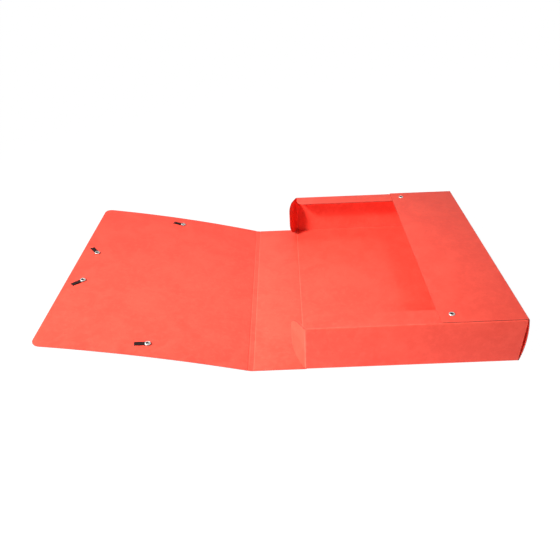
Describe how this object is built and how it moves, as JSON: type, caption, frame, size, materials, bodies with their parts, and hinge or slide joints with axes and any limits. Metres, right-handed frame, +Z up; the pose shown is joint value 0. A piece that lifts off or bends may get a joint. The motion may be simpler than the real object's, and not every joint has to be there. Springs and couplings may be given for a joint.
{
  "type": "elastic box file",
  "caption": "Open card box file: folded tray with eyeletted top flap, spine, hinged ear flaps, and a cover with two corner elastics.",
  "frame": {"origin": "centre of the tray's base, on its underside", "axes": "+Z up, +X from the spine to the fore edge, +Y to the head of the file; the opened cover lies on the -X side"},
  "size_m": [0.5561, 0.33, 0.062],
  "materials": {
    "pressboard": "glossy mottled coral red",
    "eyelet_metal": "bright nickel plate",
    "elastic_band": "woven black elastic"
  },
  "bodies": {
    "tray": {"tray": "pressboard", "flap_eyelet_tail": "eyelet_metal", "flap_eyelet_head": "eyelet_metal"},
    "spine": {"spine_panel": "pressboard"},
    "cover": {"front_cover": "pressboard", "cover_eyelet_tail": "eyelet_metal", "cover_eyelet_head": "eyelet_metal", "cover_edge_eyelet_tail": "eyelet_metal", "cover_edge_eyelet_head": "eyelet_metal", "elastic_tail": "elastic_band", "elastic_head": "elastic_band"},
    "tail_ear": {"ear_tail": "pressboard"},
    "head_ear": {"ear_head": "pressboard"}
  },
  "joints": [
    {"name": "spine_fold", "type": "hinge", "parent": "tray", "child": "spine", "pos_m": [-0.12425, 0, 0.0007], "axis": [0, 1, 0], "range_deg": [0, 90]},
    {"name": "cover_fold", "type": "hinge", "parent": "spine", "child": "cover", "pos_m": [-0.18725, 0, 0.0007], "axis": [0, 1, 0], "range_deg": [-11.5, 74.5]},
    {"name": "tail_ear_fold", "type": "hinge", "parent": "tray", "child": "tail_ear", "pos_m": [-0.12325, -0.1643, 0], "axis": [0, 0, -1], "range_deg": [0, 32.2]},
    {"name": "head_ear_fold", "type": "hinge", "parent": "tray", "child": "head_ear", "pos_m": [-0.12325, 0.1643, 0], "axis": [0, 0, 1], "range_deg": [0, 24.2]}
  ],
  "couplings": [
    {"joint": "tail_ear_fold", "follows": "spine_fold", "ratio": 0.3555},
    {"joint": "head_ear_fold", "follows": "spine_fold", "ratio": 0.2666}
  ]
}
